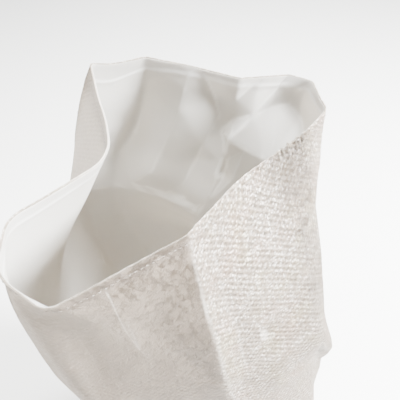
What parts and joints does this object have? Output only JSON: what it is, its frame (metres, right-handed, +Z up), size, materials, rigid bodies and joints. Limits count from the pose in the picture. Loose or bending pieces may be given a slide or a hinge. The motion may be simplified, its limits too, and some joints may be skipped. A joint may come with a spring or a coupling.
{
  "type": "cement bag",
  "caption": "Empty woven cement bag standing open on its folded block bottom, with a hemmed mouth and a smooth inner liner.",
  "frame": {"origin": "middle of the block bottom's underside, on the floor", "axes": "+Z up to the mouth, X along the block bottom's long side, Y along its short side"},
  "size_m": [0.377, 0.356, 0.68],
  "materials": {
    "woven_cloth": "woven white polypropylene tape, dusty",
    "liner_film": "smooth satin film",
    "thread": "spun sewing thread"
  },
  "bodies": {
    "root": {"woven_sack": "woven_cloth", "inner_liner": "liner_film", "hem_thread": "thread"}
  },
  "joints": []
}
